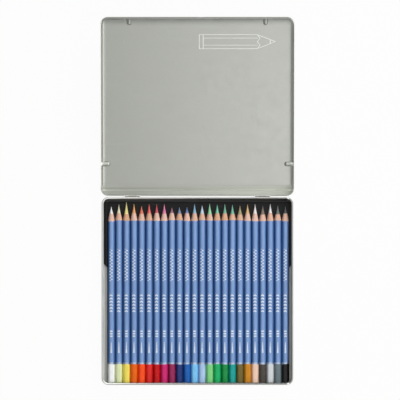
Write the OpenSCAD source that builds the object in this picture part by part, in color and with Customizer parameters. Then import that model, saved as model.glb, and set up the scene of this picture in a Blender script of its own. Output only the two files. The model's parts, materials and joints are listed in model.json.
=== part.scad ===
// Flat tin of coloured pencils: a base pan with a rolled rim, a hinged slip lid that rests
// open, a ribbed plastic tray and one row of sharpened hexagonal pencils.
// +Z is up, +Y runs from the front of the tin to its hinge, and the origin is the centre
// of the underside of the base pan. The pencils lie along Y with their points at the hinge.

/* [Pencils] */
// Number of pencils in the row
pencil_count = 24; // [12:1:27]
// Width of a pencil across its flats
pencil_flats = 6.8; // [6:0.1:8]
// How much each corner of the hexagon is rounded off
corner_trim = 0.225; // [0.05:0.025:0.35]
// Gap between neighbouring pencils
pencil_gap = 0.17; // [0.1:0.01:1]
// Length of the lacquered barrel, from the dipped end to the sharpened cone
barrel_len = 163; // [110:1:170]
// Length of the sharpened wood cone
wood_len = 6.6; // [5:0.2:10]
// Length of the bare core on the sharpest pencil
point_len = 10.8; // [9:0.2:14]
// Diameter of the coloured core
core_d = 3.5; // [2.4:0.1:4.2]
// Clearance all round between the core and its bore in the wood
core_fit = 0.01; // [0.01:0.01:0.05]
// Thickness of the dipped lacquer cap that closes the blunt end
dip_cap = 1; // [0.5:0.1:3]
// Bevel round the blunt end
butt_bevel = 0.9; // [0.1:0.05:1.5]

/* [Base pan] */
// Height of the base pan to the top of its rolled rim
base_h = 12; // [11.6:0.1:18]
// Thickness of the tinplate
sheet = 0.25; // [0.2:0.01:0.3]
// Outside radius of the base pan's corners
corner_r = 6.75; // [5:0.25:10]
// Radius of the bend between the base pan's floor and its wall
floor_bend = 1.4; // [0.6:0.1:2]
// Diameter of the rolled rim
rim_d = 2; // [1.4:0.1:2.4]
// Gap between the rim and the pencils' blunt ends, seen from above
butt_gap = 0.4; // [0.2:0.05:1]

/* [Lid] */
// Height of the lid's skirt
skirt_h = 7.2; // [5:0.1:7.4]
// Gap between the lid's hem and the base pan's wall
lid_gap = 0.3; // [0.25:0.05:0.6]
// Outside radius of the bend between the lid's panel and its skirt
lid_bend = 3.8; // [1.4:0.1:4.2]
// Height of the hem folded in along the skirt's edge
hem_h = 1.6; // [1:0.1:2.4]
// How far the stop dimples stand in from the panel
dimple_h = 2.2; // [1.6:0.1:2.3]
// Radius of the stop dimples' round section
dimple_r = 2.4; // [2:0.1:3]
// Length of a stop dimple, inwards from the outside of the skirt
dimple_len = 9.7; // [6:0.1:12]
// Distance of the two front dimples from the middle
front_dimple_x = 68; // [40:1:70]
// Distance of the two side dimples from the hinge-side skirt
side_dimple_y = 31.5; // [22:0.5:60]
// Gap left between a stop dimple and the base pan's rim when the lid is shut
stop_gap = 0.1; // [0.05:0.05:0.3]
// Sideways place of the thumb scoop in the front skirt
thumb_x = 3.5; // [-30:0.5:30]
// Radius of the ball that forms the thumb scoop
thumb_r = 18; // [14:0.5:24]
// Height of the middle of that ball above the lid
thumb_rise = 8; // [5:0.5:10]
// Gap left between the thumb scoop and the base pan's rim when the lid is shut
thumb_gap = 0.1; // [0.1:0.05:0.6]
// How far the embossed motif stands out of the panel
emboss_h = 0.35; // [0.2:0.05:0.6]
// Width of an embossed line, inside the lid
emboss_w = 1; // [0.6:0.1:1.6]
// Length of the embossed pencil motif
motif_len = 76; // [40:1:76]
// Width of the embossed pencil motif
motif_w = 15; // [10:0.5:20]
// Left end of the motif, from the middle of the lid
motif_x = 2; // [-30:1:4]
// Middle of the motif, from the outside of the front skirt
motif_y = 27.5; // [20:0.5:60]

/* [Hinge] */
// Angle from shut to the lid's rest on its hinge stops
open_angle = 159; // [120:0.5:168]
// Distance of each hinge from the middle
hinge_x = 65; // [30:1:70]
// Diameter of the hinge wire
pin_d = 0.9; // [0.7:0.05:1.1]
// Radial play of the wire in the lid's knuckle
pin_play = 0.05; // [0.02:0.01:0.1]
// Radial play of the wire in the base pan's ears
ear_play = 0.02; // [0.01:0.01:0.05]
// Outside diameter of a knuckle
knuckle_d = 1.7; // [1.5:0.05:1.9]
// Length of the lid's knuckle
knuckle_len = 8; // [5:0.5:12]
// Length of each ear on the base pan
ear_len = 3; // [2:0.25:5]
// Gap between the knuckle and an ear
ear_gap = 0.2; // [0.1:0.05:0.4]
// How far the wire stands out of the ears at each end
pin_end = 0.3; // [0.1:0.05:1]
// Gap between the knuckles and the base pan's wall
hinge_gap = 0.25; // [0.2:0.05:0.35]
// Height of the hinge line above the edge of the shut lid's skirt
hinge_rise = 0.45; // [0.3:0.05:0.6]
// Length of the stop heel on each lid knuckle
heel_len = 1.8; // [1:0.1:2.5]
// Gap left between a stop heel and the base pan's wall
heel_gap = 0.1; // [0.05:0.05:0.15]

/* [Tray] */
// Thickness of the tray's plate
tray_t = 0.8; // [0.6:0.05:1]
// Height of the ribs between the pencils
rib_h = 1.5; // [0.8:0.1:1.8]
// Clearance between a rib and the pencil beside it
rib_gap = 0.3; // [0.2:0.05:0.4]
// Gap between a pencil's underside and the tray
seat_gap = 0.1; // [0.05:0.05:0.2]
// Width of the raised border round the tray's head
border_t = 3.2; // [2.6:0.1:4.5]
// How far the raised border stands above the pencils
border_rise = 0.5; // [0.2:0.1:0.6]
// Clearance between the border and the first and last pencils' cells
border_gap = 0.3; // [0.25:0.05:0.6]
// Gap between the border and the sharpest point
tip_gap = 1.25; // [0.5:0.05:3]
// Length of the bordered head of the tray, from its hinge-side edge
head_len = 69.5; // [40:0.5:90]
// Sideways play of the tray in the base pan
tray_play = 2.4; // [1.2:0.1:2.8]
// Gap left on the side that the tray has slid to, and at its two ends
tray_gap = 0.3; // [0.25:0.05:0.5]
// Radius of the border's top edges
border_edge_r = 0.7; // [0.3:0.05:0.9]
// Width and depth of the groove along the border's top
border_groove = 0.5; // [0.3:0.05:0.6]
// Height of the lip that stops the pencils' blunt ends
lip_h = 4; // [2:0.5:6]
// Thickness of that lip
lip_t = 0.5; // [0.4:0.05:0.6]

/* [Hidden] */
$fn = 48;
arc_step = 15;
cut = 1;

// Pencils
pencil_corners = pencil_flats / cos(30) - 2 * corner_trim;
pitch = pencil_corners + pencil_gap;
row_w = pencil_count * pitch;
facet_w = pencil_flats * tan(30);
core_r = core_d / 2;
wood_edge = 0.12;
wood_end_r = core_r + wood_edge;
point_r = 0.25;
wood_slope = (pencil_flats / 2 - wood_end_r) / wood_len;
casing_len = barrel_len + wood_len;
cone_start = barrel_len - (pencil_corners - pencil_flats) / 2 / wood_slope;
// How much shorter each bare core is than the sharpest one, from left to right
core_wear = [4.5, 2.5, 0, 2, 4, 2, 2, 2, 5.5, 5, 5, 2, 3.5, 1.5, 2.5, 2, 2.5, 3.5,
             2.5, 2, 3.5, 2, 3.5, 4];
core_colours = ["white", "khaki", "gold", "orange", "orangered", "red", "crimson",
                "mediumvioletred", "purple", "indigo", "blue", "deepskyblue",
                "lightsteelblue", "limegreen", "seagreen", "darkgreen", "teal", "olive",
                "goldenrod", "lightpink", "saddlebrown", "lightgrey", "slategrey", "black"];

// Base pan, sized by what lies in it
side_room = sheet + tray_play / 2 + border_t + border_gap;
butt_room = rim_d + butt_gap;
tip_room = sheet + tray_gap + border_t + tip_gap;
base_w = row_w + 2 * side_room;
base_d = butt_room + casing_len + point_len + tip_room;
rim_r = rim_d / 2;
floor_lap = 1;
rim_end_angle = 290;

// Lid, drawn shut
lid_over = lid_gap + 2 * sheet;
lid_w = base_w + 2 * lid_over;
lid_d = base_d + 2 * lid_over;
lid_r = corner_r + lid_over;
panel_z = base_h + stop_gap + dimple_h;
lid_top = panel_z + sheet;
lid_rim_z = lid_top - skirt_h;
hem_bevel = 0.12;
dimple_z = panel_z + dimple_r - dimple_h;
thumb_sink = sqrt(pow(thumb_r + sheet + thumb_gap + rim_r, 2)
    - pow(lid_top + thumb_rise - base_h + rim_r, 2)) - lid_over - rim_r;
press_depth = dimple_len + lid_bend;
press_span = 2 * thumb_r;
motif_tip = 0.24 * motif_len;
motif_core = 0.07 * motif_len;
motif_band = 0.05 * motif_len;
motif_facet = motif_w / 4;

// Hinge
knuckle_r = knuckle_d / 2;
bore_r = pin_d / 2 + pin_play;
ear_bore_r = pin_d / 2 + ear_play;
hinge_y = base_d / 2 + hinge_gap + knuckle_r;
hinge_z = lid_rim_z + hinge_rise;
ear_x = knuckle_len / 2 + ear_gap;
pin_len = 2 * (ear_x + ear_len + pin_end);
notch_w = ear_len + pin_end + 2 * ear_gap;
notch_top = hinge_z + knuckle_r + 2 * ear_gap;
strap_t = 0.4;
heel_t = 0.5;
heel_rise = 0.15;

// Tray and the row of pencils on it
tray_z = sheet;
groove_z = tray_z + tray_t;
pencil_z = groove_z + seat_gap + pencil_flats / 2;
pencil_y = butt_room - base_d / 2;
row_shift = tray_play / 2 - tray_gap;
rib_spread = rib_gap / sin(60);
rib_foot = (pitch - facet_w) / 2 - rib_spread + seat_gap / tan(60);
rib_head = rib_foot - rib_h / tan(60);
rib_end = pencil_y + barrel_len + wood_len / 2;
head_w = base_w - 2 * sheet - tray_play;
tray_end = base_d / 2 - sheet - tray_gap;
tray_front = floor_bend - base_d / 2;
border_top = pencil_z + pencil_flats / 2 + border_rise;
border_r = corner_r - sheet - tray_gap;
body_w = row_w + 2 * border_gap;

function casing_name(i) = str("pencil_", i < 10 ? "0" : "", i, "_casing");
function core_name(i) = str("pencil_", i < 10 ? "0" : "", i, "_core");
function pencil_x(i) = (i - (pencil_count + 1) / 2) * pitch + row_shift;
function core_len(i) = point_len - core_wear[(i - 1) % len(core_wear)];
// Points along an arc from angle a to angle b
function arc(centre, r, a, b) =
    let (steps = max(1, ceil(abs(b - a) / arc_step)))
    [for (i = [0:steps]) let (t = a + (b - a) * i / steps)
        centre + r * [cos(t), sin(t)]];

// Sweeps a wall section round a rounded rectangle. In the section x is 0 on the outside
// of the wall and negative inside it, and y is height.
module swept_wall(w, d, r) {
    for (a = [0, 90, 180, 270]) {
        across = a % 180 == 0 ? w : d;
        along = a % 180 == 0 ? d : w;
        rotate([0, 0, a]) {
            translate([across / 2, 0, 0]) rotate([90, 0, 0])
                linear_extrude(along - 2 * r, center = true) children();
            translate([across / 2 - r, along / 2 - r, 0])
                rotate_extrude(angle = 90) translate([r, 0]) children();
        }
    }
}

// Section of the base pan: floor edge, bend, wall and the rim rolled inwards
module base_section() {
    bend = [-floor_bend, floor_bend];
    roll = [-rim_r, base_h - rim_r];
    lap = -floor_bend - floor_lap;
    polygon(concat([[lap, 0]], arc(bend, floor_bend, -90, 0),
        arc(roll, rim_r, 0, rim_end_angle), arc(roll, rim_r - sheet, rim_end_angle, 0),
        arc(bend, floor_bend - sheet, 0, -90), [[lap, sheet]]));
}

// Flat plate with rounded corners that fills the space inside a swept wall
module round_plate(w, d, r, t) {
    linear_extrude(t) {
        square([w - 2 * r, d], center = true);
        square([w, d - 2 * r], center = true);
        for (x = [-1, 1]) for (y = [-1, 1])
            translate([x * (w / 2 - r), y * (d / 2 - r)]) circle(r = r);
    }
}

// One ear of a hinge: a strap from the wall that is rolled round the wire
module hinge_ear() {
    reach = hinge_y - base_d / 2 + sheet / 2;
    difference() {
        union() {
            rotate([0, 90, 0]) cylinder(h = ear_len, d = knuckle_d);
            translate([0, -reach, -knuckle_r]) cube([ear_len, reach, strap_t]);
        }
        translate([-cut, 0, 0]) rotate([0, 90, 0]) cylinder(h = ear_len + 2 * cut, r = ear_bore_r);
    }
}

module base_pan() {
    color("silver") union() {
        swept_wall(base_w, base_d, corner_r) base_section();
        round_plate(base_w - 2 * floor_bend, base_d - 2 * floor_bend, corner_r - floor_bend, sheet);
        for (side = [-1, 1]) translate([side * hinge_x, hinge_y, hinge_z]) {
            translate([ear_x, 0, 0]) hinge_ear();
            translate([-ear_x - ear_len, 0, 0]) hinge_ear();
        }
    }
}

// Section of the lid: hem, skirt, bend and the panel's edge
module lid_section() {
    bend = [-lid_bend, lid_top - lid_bend];
    hem_in = -2 * sheet;
    lap = -lid_bend - floor_lap;
    polygon(concat([[hem_in, lid_rim_z + hem_bevel], [hem_in + hem_bevel, lid_rim_z],
        [-hem_bevel, lid_rim_z], [0, lid_rim_z + hem_bevel]], arc(bend, lid_bend, 0, 90),
        [[lap, lid_top], [lap, panel_z]], arc(bend, lid_bend - sheet, 90, 0),
        [[-sheet, lid_rim_z + hem_h], [hem_in, lid_rim_z + hem_h]]));
}

// The space that the lid's edge encloses, over a short span of it
module lid_edge_fill() {
    bend = [-lid_bend, lid_top - lid_bend];
    rotate([90, 0, 0]) linear_extrude(press_span, center = true)
        polygon(concat([[-press_depth, lid_rim_z], [0, lid_rim_z]],
            arc(bend, lid_bend, 0, 90), [[-press_depth, lid_top]]));
}

// Turns a feature that is drawn with +X pointing out of the skirt to one side of the lid
module on_lid_edge(angle, along) {
    across = angle % 180 == 0 ? lid_w : lid_d;
    rotate([0, 0, angle]) translate([across / 2, along, 0]) children();
}

// Round-ended rod that presses a stop dimple into the panel
module dimple_rod(r) {
    translate([0, 0, dimple_z]) rotate([0, 90, 0])
        rotate_extrude() polygon(concat([[0, cut]],
            arc([0, dimple_r - dimple_len], r, -90, 0), [[r, cut]]));
}

module thumb_ball(r) {
    translate([thumb_sink, 0, lid_top + thumb_rise]) sphere(r = r);
}

module at_dimples() {
    for (side = [-1, 1]) on_lid_edge(270, side * front_dimple_x) children();
    on_lid_edge(0, lid_d / 2 - side_dimple_y) children();
    on_lid_edge(180, side_dimple_y - lid_d / 2) children();
}

// A straight embossed line with round ends
module motif_line(from, to, w) {
    run = to - from;
    translate(from) rotate(atan2(run[1], run[0])) translate([0, -w / 2]) square([norm(run), w]);
    for (end = [from, to]) translate(end) circle(d = w);
}

// Plain outline of a pencil, pointing to +X
module motif(w) {
    half = motif_w / 2;
    neck = motif_len - motif_tip;
    for (side = [-1, 1]) {
        motif_line([0, side * half], [neck, side * half], w);
        motif_line([motif_band, side * motif_facet], [neck, side * motif_facet], w);
        motif_line([neck, side * half], [motif_len, 0], w);
        motif_line([neck, side * half], [neck + motif_core / 2, side * motif_facet], w);
        motif_line([neck + motif_core / 2, side * motif_facet], [neck, 0], w);
    }
    motif_line([0, -half], [0, half], w);
    motif_line([motif_band, -half], [motif_band, half], w);
    motif_line([motif_len - motif_core, -half * motif_core / motif_tip],
        [motif_len - motif_core, half * motif_core / motif_tip], w);
}

module motif_relief(z, h, w) {
    translate([motif_x, motif_y - lid_d / 2, z]) linear_extrude(h) motif(w);
}

// Cross-section of the heel, drawn as it lies with the lid open, and turned shut with it
module heel() {
    face = heel_gap - hinge_gap - knuckle_r;
    rotate([open_angle, 0, 0]) rotate([90, 0, 90]) linear_extrude(knuckle_len, center = true)
        translate([face, -heel_len]) square([heel_t, heel_len + heel_rise]);
}

module lid_shut() {
    difference() {
        union() {
            difference() {
                swept_wall(lid_w, lid_d, lid_r) lid_section();
                for (side = [-1, 1]) for (end = [0, 1])
                    translate([side * hinge_x, lid_d / 2 - lid_over - cut, 0]) mirror([end, 0, 0])
                        translate([knuckle_len / 2, 0, 0])
                            cube([notch_w, lid_over + 2 * cut, notch_top]);
            }
            translate([0, 0, panel_z])
                round_plate(lid_w - 2 * lid_bend, lid_d - 2 * lid_bend, lid_r - lid_bend, sheet);
            at_dimples() intersection() {
                dimple_rod(dimple_r);
                lid_edge_fill();
            }
            on_lid_edge(270, thumb_x) intersection() {
                thumb_ball(thumb_r + sheet);
                lid_edge_fill();
            }
            motif_relief(panel_z, sheet + emboss_h, emboss_w + 2 * sheet);
            for (side = [-1, 1]) translate([side * hinge_x, hinge_y, hinge_z]) {
                rotate([0, 90, 0]) cylinder(h = knuckle_len, d = knuckle_d, center = true);
                heel();
            }
        }
        at_dimples() dimple_rod(dimple_r - sheet);
        on_lid_edge(270, thumb_x) thumb_ball(thumb_r);
        motif_relief(panel_z - cut, cut + emboss_h, emboss_w);
        for (side = [-1, 1]) translate([side * hinge_x, hinge_y, hinge_z])
            rotate([0, 90, 0]) cylinder(h = knuckle_len + 2 * cut, r = bore_r, center = true);
    }
}

module lid_pan() {
    color("silver") translate([0, hinge_y, hinge_z]) rotate([-open_angle, 0, 0])
        translate([0, -hinge_y, -hinge_z]) lid_shut();
}

module hinge_pin(side) {
    color("gainsboro") translate([side * hinge_x, hinge_y, hinge_z]) rotate([0, 90, 0])
        cylinder(h = pin_len, d = pin_d, center = true);
}

// Section of the raised border: rounded top edges and a groove along the top
module border_section() {
    out = [-border_edge_r, border_top - border_edge_r];
    in = [border_edge_r - border_t, border_top - border_edge_r];
    middle = -border_t / 2;
    polygon(concat([[-border_t, tray_z], [-floor_bend, tray_z], [0, tray_z + floor_bend]],
        arc(out, border_edge_r, 0, 90),
        [[middle + border_groove / 2, border_top],
        [middle, border_top - border_groove],
        [middle - border_groove / 2, border_top]], arc(in, border_edge_r, 90, 180)));
}

// Plan of the tray's head: square at the hinge side, chamfered where it narrows
module head_plan() {
    start = tray_end - head_len;
    polygon([[-head_w / 2, start + border_t], [border_t - head_w / 2, start],
        [head_w / 2 - border_t, start], [head_w / 2, start + border_t],
        [head_w / 2, tray_end + cut], [-head_w / 2, tray_end + cut]]);
}

// Ribs that lie between the pencils, with sides parallel to the hexagons' lower facets
module rib() {
    polygon([[-rib_foot, 0], [rib_foot, 0], [rib_head, rib_h], [-rib_head, rib_h]]);
}

module pencil_tray() {
    color("dimgray") translate([row_shift, 0, 0]) union() {
        intersection() {
            translate([0, tray_end - head_len, 0]) union() {
                swept_wall(head_w, 2 * head_len, border_r) border_section();
                translate([0, 0, tray_z])
                    round_plate(head_w - border_t, 2 * head_len - border_t, border_r - border_t / 2, tray_t);
            }
            linear_extrude(base_h) head_plan();
        }
        translate([-body_w / 2, tray_front, tray_z])
            cube([body_w, tray_end - border_r - tray_front, tray_t]);
        translate([-body_w / 2, tray_front, tray_z]) cube([body_w, lip_t, lip_h]);
        for (i = [1:pencil_count - 1]) translate([(i - pencil_count / 2) * pitch, rib_end, groove_z])
            rotate([90, 0, 0]) linear_extrude(rib_end - pencil_y) rib();
    }
}

// Lays a piece that is drawn along +Z into the row, blunt end at the front
module in_row(i) {
    translate([pencil_x(i), pencil_y, pencil_z]) rotate([-90, 0, 0]) children();
}

module pencil_casing(i) {
    corner = pencil_corners / 2;
    color("steelblue") in_row(i) difference() {
        intersection() {
            cylinder(h = casing_len, d = pencil_flats / cos(30), $fn = 6);
            rotate_extrude() polygon([[0, 0], [corner - butt_bevel, 0], [corner, butt_bevel],
                [corner, cone_start], [wood_end_r, casing_len], [0, casing_len]]);
        }
        translate([0, 0, dip_cap]) cylinder(h = casing_len, r = core_r + core_fit);
    }
}

module pencil_core(i) {
    color(core_colours[(i - 1) % len(core_colours)]) in_row(i)
        rotate_extrude() polygon([[0, dip_cap], [core_r, dip_cap], [core_r, casing_len],
            [point_r, casing_len + core_len(i) - point_r], [0, casing_len + core_len(i)]]);
}

base_pan();
lid_pan();
hinge_pin(-1);  // hinge_pin_left
hinge_pin(1);  // hinge_pin_right
pencil_tray();
for (i = [1:pencil_count]) {
    pencil_casing(i);
    pencil_core(i);
}
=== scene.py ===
"""Dresses the coloured pencil tin: tinplate, hinges, tray, pencils, and the stage round it."""
import json
import math
import random

import bmesh
import bpy
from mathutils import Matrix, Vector

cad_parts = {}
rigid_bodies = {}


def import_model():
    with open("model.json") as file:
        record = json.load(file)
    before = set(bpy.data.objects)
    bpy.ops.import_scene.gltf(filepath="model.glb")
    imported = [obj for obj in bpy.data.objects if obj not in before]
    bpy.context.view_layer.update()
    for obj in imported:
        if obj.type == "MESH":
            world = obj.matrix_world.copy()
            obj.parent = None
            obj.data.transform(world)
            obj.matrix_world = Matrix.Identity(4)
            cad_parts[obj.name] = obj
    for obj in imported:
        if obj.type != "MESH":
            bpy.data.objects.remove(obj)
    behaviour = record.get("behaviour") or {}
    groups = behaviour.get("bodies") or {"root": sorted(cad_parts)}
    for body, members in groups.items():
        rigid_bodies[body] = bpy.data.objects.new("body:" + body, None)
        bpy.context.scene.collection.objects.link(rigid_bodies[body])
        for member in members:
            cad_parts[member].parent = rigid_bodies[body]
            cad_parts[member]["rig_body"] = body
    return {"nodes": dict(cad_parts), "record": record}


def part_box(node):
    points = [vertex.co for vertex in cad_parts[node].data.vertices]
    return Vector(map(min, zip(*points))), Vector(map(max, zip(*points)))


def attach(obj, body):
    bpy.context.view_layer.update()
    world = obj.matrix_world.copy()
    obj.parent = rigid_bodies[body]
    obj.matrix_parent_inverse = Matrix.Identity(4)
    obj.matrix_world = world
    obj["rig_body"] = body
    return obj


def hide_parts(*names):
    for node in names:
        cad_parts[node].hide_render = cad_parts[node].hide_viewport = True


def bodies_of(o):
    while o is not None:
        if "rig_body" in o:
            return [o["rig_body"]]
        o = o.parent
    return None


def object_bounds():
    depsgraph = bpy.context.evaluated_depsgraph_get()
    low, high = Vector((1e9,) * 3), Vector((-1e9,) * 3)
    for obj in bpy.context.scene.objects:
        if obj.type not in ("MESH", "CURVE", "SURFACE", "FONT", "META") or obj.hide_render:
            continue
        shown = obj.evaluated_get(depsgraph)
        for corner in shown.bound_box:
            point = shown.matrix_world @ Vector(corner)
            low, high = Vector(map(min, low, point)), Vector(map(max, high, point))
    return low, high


bl_info = {
    "name": "Coloured pencil tin",
    "version": (1, 0, 0),
    "blender": (4, 5, 0),
    "location": "View3D > Sidebar > Pencil tin",
    "description": "Materials and detailed pieces for a flat tin of coloured pencils",
    "category": "Object",
}

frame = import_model()
CAD_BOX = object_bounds()
NODES = frame["nodes"]
SLOT_OF = {part["node"]: part["material_slot"] for part in frame["record"]["subparts"]}
SLOT_COLOUR = {slot["slot"]: tuple(slot["base_color"]) for slot in frame["record"]["materials"]}
CASINGS = sorted(name for name in NODES if name.endswith("_casing"))
CORES = sorted(name for name in NODES if name.endswith("_core"))
PINS = ("hinge_pin_left", "hinge_pin_right")
TRAY = "pencil_tray"
LID_OPEN = 159  # Degrees that the lid is open at rest

# Zones of the base pan, where highlights and shade are painted, in metres: distances in from its box at which
# each starts and is full
RIM_TOP = (0.0016, 0.0010)
FRONT_INNER = (0.0026, 0.0020)
FRONT_OUTER = (0.0007, 0.0011)
RIGHT_RIM = (0.0042, 0.0038)
RIGHT_OUTER = (0.0018, 0.0012)
FLOOR_TOP = 0.0030
FLOOR_EDGE = 0.0033
# The right rim's outer side carries painted shade too, lighter than on its top.
OUTER_LEVEL = 1.4  # Level of the right rim's outer side against its top

# Zones of the open lid, where highlights are painted, in metres: distances in from its sides, then places
# along Y
WALL_FOOT = (0.0038, 0.0028)
SIDE_RIM = 0.0013
HINGE_END = 0.0957
MATT_START = (0.1066, 0.1042)
PANEL_END = (0.1022, 0.1040)
FOOT_FAR = (0.1026, 0.1012)
FOOT_NEAR = (0.0998, 0.1004)
# Levels of the painted highlight on the matt hinge bend at the lid's left and right, lighter at the right: on
# the panel, over the bend and at its foot
MATT_ENDS = (-0.075, 0.075)
MATT_PANEL = (1.03, 1.18)
MATT_BEND = (0.85, 1.12)
MATT_FOOT = (1.12, 1.42)
MATT_ROUGHNESS = 0.85

# The motif's pressed floor inside the open lid, which carries a painted highlight, in metres
MOTIF_DEPTH = 0.03361  # Below the origin, square to the panel
MOTIF_SLACK = 0.00005
MOTIF_START = 0.230  # Along Y
PANEL_HALF = 0.088

# Zones of the tray's head, in metres: distances in from its hinge side, and its height. The foot of its
# border is painted in shade and the border carries a painted highlight
TRAY_FOOT = (0.0058, 0.0052)
TRAY_BORDER = (0.0044, 0.0040)
TRAY_HEAD = 0.0009

# Foil ornament on the barrel, in millimetres: where each kind of mark starts and ends from the blunt end
DASHES = (101.5, 133.5)
CHEVRONS = (70.5, 89.5)
BARS = (45.6, 53.1)
WEDGE = (29.5, 40.5)
# Its marks: their pitch, how far they reach to either side, and where in each cell of the pitch they lie
DASH_PITCH, DASH_REACH, DASH_SPAN = 1.6, 0.85, (-0.34, 0.34)
CHEVRON_PITCH, CHEVRON_REACH, CHEVRON_SPAN = 3.17, 1.6, (-0.12, 0.32)
BAR_PITCH, BAR_REACH, BAR_SPAN = 2.5, 1.3, (-0.28, 0.28)
WEDGE_REACH = (0.80, 0.20)
DASH_SHIFTS = (-0.55, 1.05)  # Every other dash is shifted
CHEVRON_SHIFT, CHEVRON_LEAN = 0.2, 0.16
TOP_FACET = 0.0030  # Height in metres above the pencil's middle

# Shade of the barrel across the pencil, in metres: its lightest line, and where it deepens from there
LIGHT_LINE = 0.0005
DEEPENING = (0.0008, 0.0034)

# Small sizes of a casing, in metres
DIP_STEP = 0.00003  # How far the dip stands out of the barrel
BRIM_WAVE = 0.00022  # How far the dip's brim waves
BRIM_FALL = 0.0004
RING_FALL = 0.0003
SCALLOP_SHIFT = (-0.0003, 0.0010)  # How much deeper the sharpener cut
SCALLOP_JITTER = 0.00012
WOOD_RAGGED = 0.00025
CONE_ROWS = (0.3, 0.6, 0.85, 1.0)  # Shares of the sharpened wood's length
# Rounded blunt end: share of the radius lost, and share of the dome's length
DOME = ((0.62, 0.02), (0.30, 0.10), (0.17, 0.24), (0.085, 0.44), (0.03, 0.70), (0.0, 1.0))

# Sizes of a bare core
CORE_SIDES = 24
CORE_CUTS = 9  # Sharpening steps
CORE_CURVE = 1.2  # Above 1 the point is hollow
CORE_UNEVEN = 0.012  # Share of the radius
CORE_HIDDEN = (0.001, 0.0002)  # Length inside the wood in metres, from and to
TIP_LENGTH = 1.5  # Against the tip's radius
TIP_ROWS = (0.5, 0.87)  # Shares of the rounded tip's length
TIP_LEAN = 0.08

# Shading: distance in metres within which points join, and angles in degrees
WELD = 0.000002
FLAT_ANGLE = 0.4
PAN_EDGE = 32
CASING_EDGE = 28
CORE_EDGE = 50

# Softboxes: place from the point looked at, and side, in metres
SOFTBOXES = {
    "front_right": ((0.55, -0.75, 0.8), 1.2),
    "rear": ((0.2, 1.3, 1.2), 1.6),
    "overhead": ((0.15, 0.1, 1.4), 0.8),
    "rear_right": ((1.0, 0.9, 0.9), 1.2),
    "right": ((1.5, -0.15, 0.75), 0.8),
}
FLOOR_COLOUR = (0.62, 0.62, 0.61)
FLOOR_DROP = 0.0002  # Below the object, in metres
FLOOR_WHITE = 0.96  # Share that shows as plain white
FLOOR_REFLECTED = 0.2
ROOM_REFLECTED = 0.1

# Lacquer colour of each pencil's dipped end, from left to right
DIPS = {
    "white": (0.90, 0.92, 0.91), "cream": (0.76, 0.82, 0.47), "yellow": (0.90, 0.75, 0.12),
    "orange": (0.82, 0.13, 0.005), "vermilion": (0.95, 0.085, 0.014), "red": (0.70, 0.022, 0.02),
    "crimson": (0.53, 0.005, 0.006), "magenta": (0.60, 0.022, 0.16), "purple": (0.30, 0.02, 0.095),
    "indigo": (0.018, 0.038, 0.18), "ultramarine": (0.011, 0.11, 0.42), "sky_blue": (0.20, 0.56, 0.90),
    "pale_blue": (0.39, 0.56, 0.80), "light_green": (0.22, 0.65, 0.23), "green": (0.01, 0.42, 0.13),
    "dark_green": (0.009, 0.26, 0.06), "teal": (0.011, 0.34, 0.30), "olive": (0.165, 0.125, 0.03),
    "ochre": (0.58, 0.24, 0.014), "pink": (0.86, 0.60, 0.46), "sepia": (0.068, 0.058, 0.052),
    "light_grey": (0.64, 0.67, 0.69), "slate_grey": (0.14, 0.185, 0.20), "black": (0.012, 0.012, 0.012),
}
# Pigments whose sharpened point looks paler or cooler than its slot's plain colour
POINTS = {
    "white": (0.95, 0.96, 0.95), "yellow": (0.98, 0.84, 0.28), "orange": (0.95, 0.40, 0.10),
    "vermilion": (0.90, 0.17, 0.07), "red": (0.92, 0.10, 0.08), "crimson": (0.70, 0.05, 0.09),
    "magenta": (0.85, 0.20, 0.42), "purple": (0.36, 0.12, 0.22), "indigo": (0.17, 0.25, 0.44),
    "ultramarine": (0.12, 0.21, 0.51), "sky_blue": (0.26, 0.53, 0.72), "pale_blue": (0.61, 0.80, 0.92),
    "light_green": (0.31, 0.72, 0.39), "green": (0.17, 0.67, 0.41), "dark_green": (0.16, 0.48, 0.30),
    "teal": (0.16, 0.52, 0.34), "olive": (0.42, 0.34, 0.14), "ochre": (0.80, 0.48, 0.18),
    "pink": (0.96, 0.88, 0.88), "light_grey": (0.93, 0.90, 0.90), "slate_grey": (0.13, 0.16, 0.14),
}


# ---------------------------------------------------------------- settings


def colour_prop(name, description, default):
    return bpy.props.FloatVectorProperty(name=name, description=description, subtype="COLOR",
                                         size=3, min=0.0, max=1.0, default=default)


def length_prop(name, description, default, low=0.0, high=0.5):
    return bpy.props.FloatProperty(name=name, description=description, subtype="DISTANCE",
                                   unit="LENGTH", min=low, max=high, default=default)


def power_prop(name, description, default):
    return bpy.props.FloatProperty(name=name, description=description, unit="POWER", min=0.0, default=default)


def share_prop(name, description, default):
    return bpy.props.FloatProperty(name=name, description=description, subtype="FACTOR",
                                   min=0.0, max=1.0, default=default)


def level_prop(name, description, default):
    return bpy.props.FloatProperty(name=name, description=description, min=0.5, max=2.0, default=default)


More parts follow.
